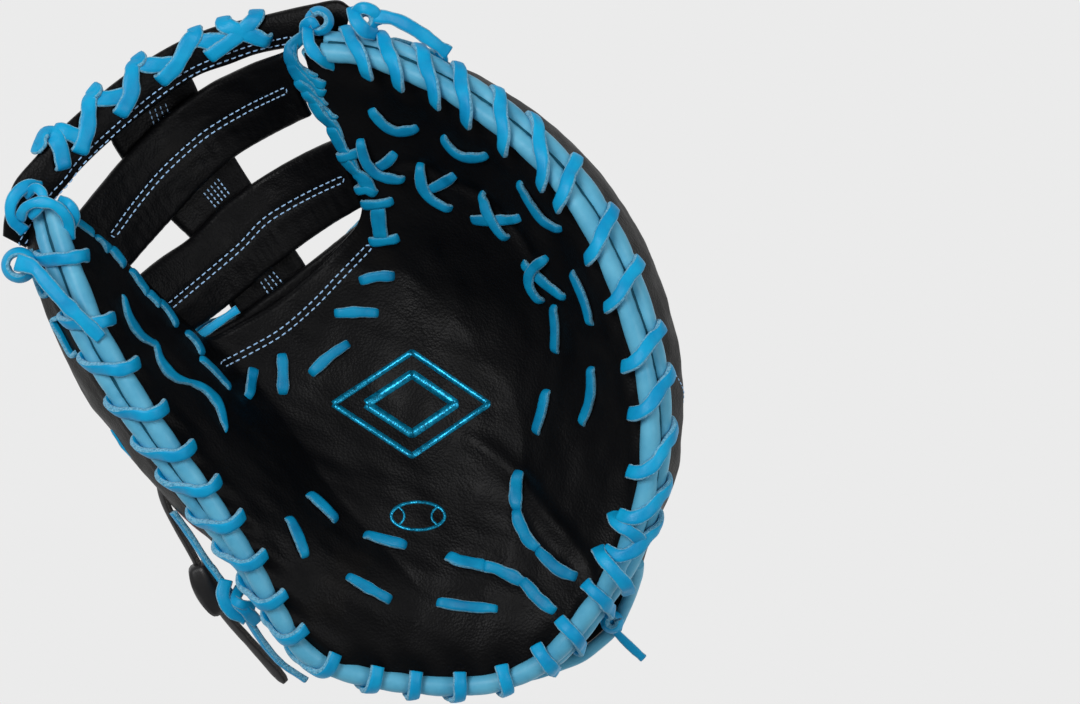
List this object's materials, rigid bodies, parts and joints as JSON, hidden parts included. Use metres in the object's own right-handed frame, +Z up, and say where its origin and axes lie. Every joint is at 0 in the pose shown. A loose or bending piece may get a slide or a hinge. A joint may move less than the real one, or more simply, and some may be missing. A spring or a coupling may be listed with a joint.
{
  "type": "first baseman mitt",
  "caption": "First baseman's mitt of black leather with a deep scoop pocket, barred web, rolled light blue edges, whip-laced rim and hand opening in the back.",
  "frame": {"origin": "under the middle of the mitt's bounding box, on the surface that it rests on", "axes": "+Z up, out of the palm; +Y from the heel to the web; +X from the thumb side to the finger side"},
  "size_m": [0.2498, 0.3268, 0.1012],
  "materials": {
    "black_leather": "satin, fine grain",
    "blue_leather": "satin",
    "blue_lace": "satin",
    "black_lace": "satin",
    "red_patch": "matt embroidery"
  },
  "bodies": {
    "root": {"palm_shell": "black_leather", "back_finger_panel": "black_leather", "back_thumb_panel": "black_leather", "wrist_strap": "black_leather", "palm_rim_roll": "blue_leather", "back_rim_roll": "blue_leather", "thumb_side_rim_lace": "blue_lace", "finger_side_rim_lace": "blue_lace", "web_crest": "black_leather", "web_bar_top": "black_leather", "web_bar_middle": "black_leather", "web_bar_bottom": "black_leather", "web_post": "black_leather", "web_opening_binding": "blue_leather", "hand_opening_binding": "blue_leather", "wrist_strap_binding": "blue_leather", "pull_strap": "black_lace", "pull_strap_bead": "black_lace", "wrist_label": "red_patch", "thumb_label": "red_patch"}
  },
  "joints": []
}
